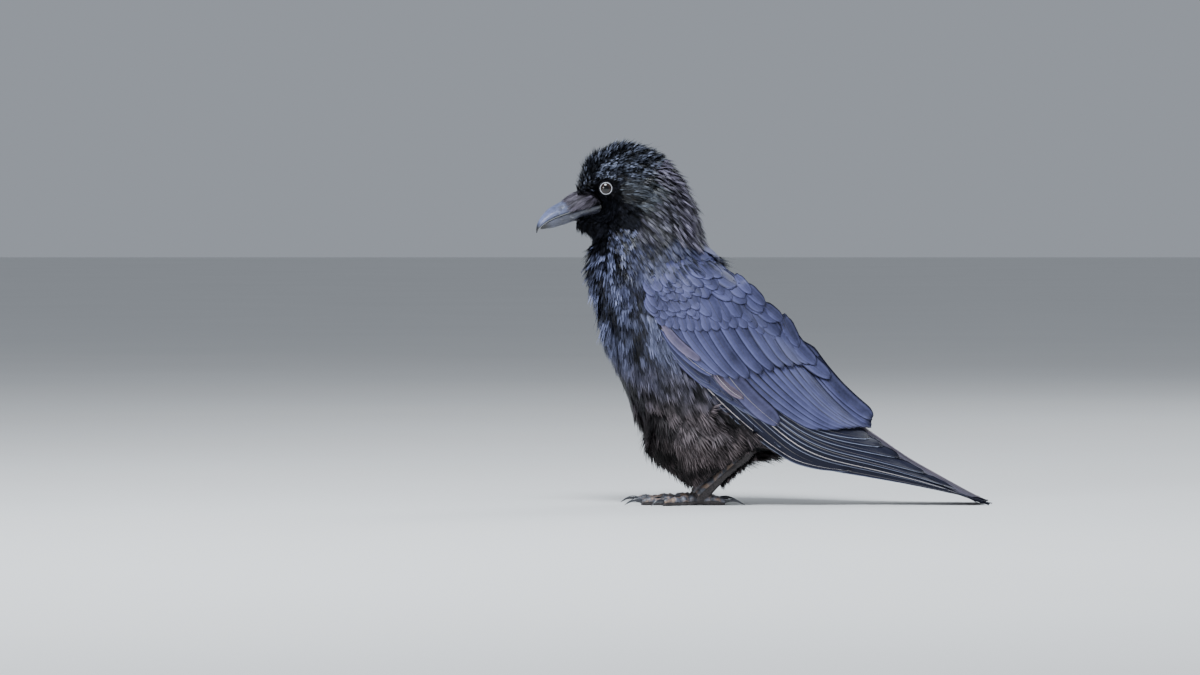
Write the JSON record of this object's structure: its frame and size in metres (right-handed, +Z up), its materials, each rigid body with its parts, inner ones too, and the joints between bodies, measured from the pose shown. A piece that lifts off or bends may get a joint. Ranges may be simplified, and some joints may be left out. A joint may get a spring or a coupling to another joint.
{
  "type": "carrion crow",
  "caption": "Life-size carrion crow standing still with folded wings, head turned forward and tail laid on the floor.",
  "frame": {"origin": "bottom centre of the whole bird's box, on the floor that its feet and tail tip rest on", "axes": "+Z up, the bird faces -X, its left side is towards -Y, the tail points to +X"},
  "size_m": [0.3626, 0.1064, 0.2882],
  "materials": {
    "plumage": "glossy black feathers with a blue-violet sheen",
    "flight_feathers": "satin slate-black vanes with pale shafts",
    "horn": "polished dark horn, grey-blue on the ridge",
    "leg_skin": "dry scaled skin with dusty scale edges",
    "eye": "wet dark brown eye"
  },
  "bodies": {
    "root": {"head": "plumage", "neck": "plumage", "trunk": "plumage", "tail": "flight_feathers", "wing_left": "flight_feathers", "wing_right": "flight_feathers", "thigh_left": "plumage", "thigh_right": "plumage", "tarsus_left": "leg_skin", "tarsus_right": "leg_skin", "bill_upper": "horn", "bill_lower": "horn", "eye_left": "eye", "eye_right": "eye", "toe_middle_left": "leg_skin", "claw_middle_left": "horn", "toe_inner_left": "leg_skin", "claw_inner_left": "horn", "toe_outer_left": "leg_skin", "claw_outer_left": "horn", "toe_hind_left": "leg_skin", "claw_hind_left": "horn", "toe_middle_right": "leg_skin", "claw_middle_right": "horn", "toe_inner_right": "leg_skin", "claw_inner_right": "horn", "toe_outer_right": "leg_skin", "claw_outer_right": "horn", "toe_hind_right": "leg_skin", "claw_hind_right": "horn"}
  },
  "joints": []
}
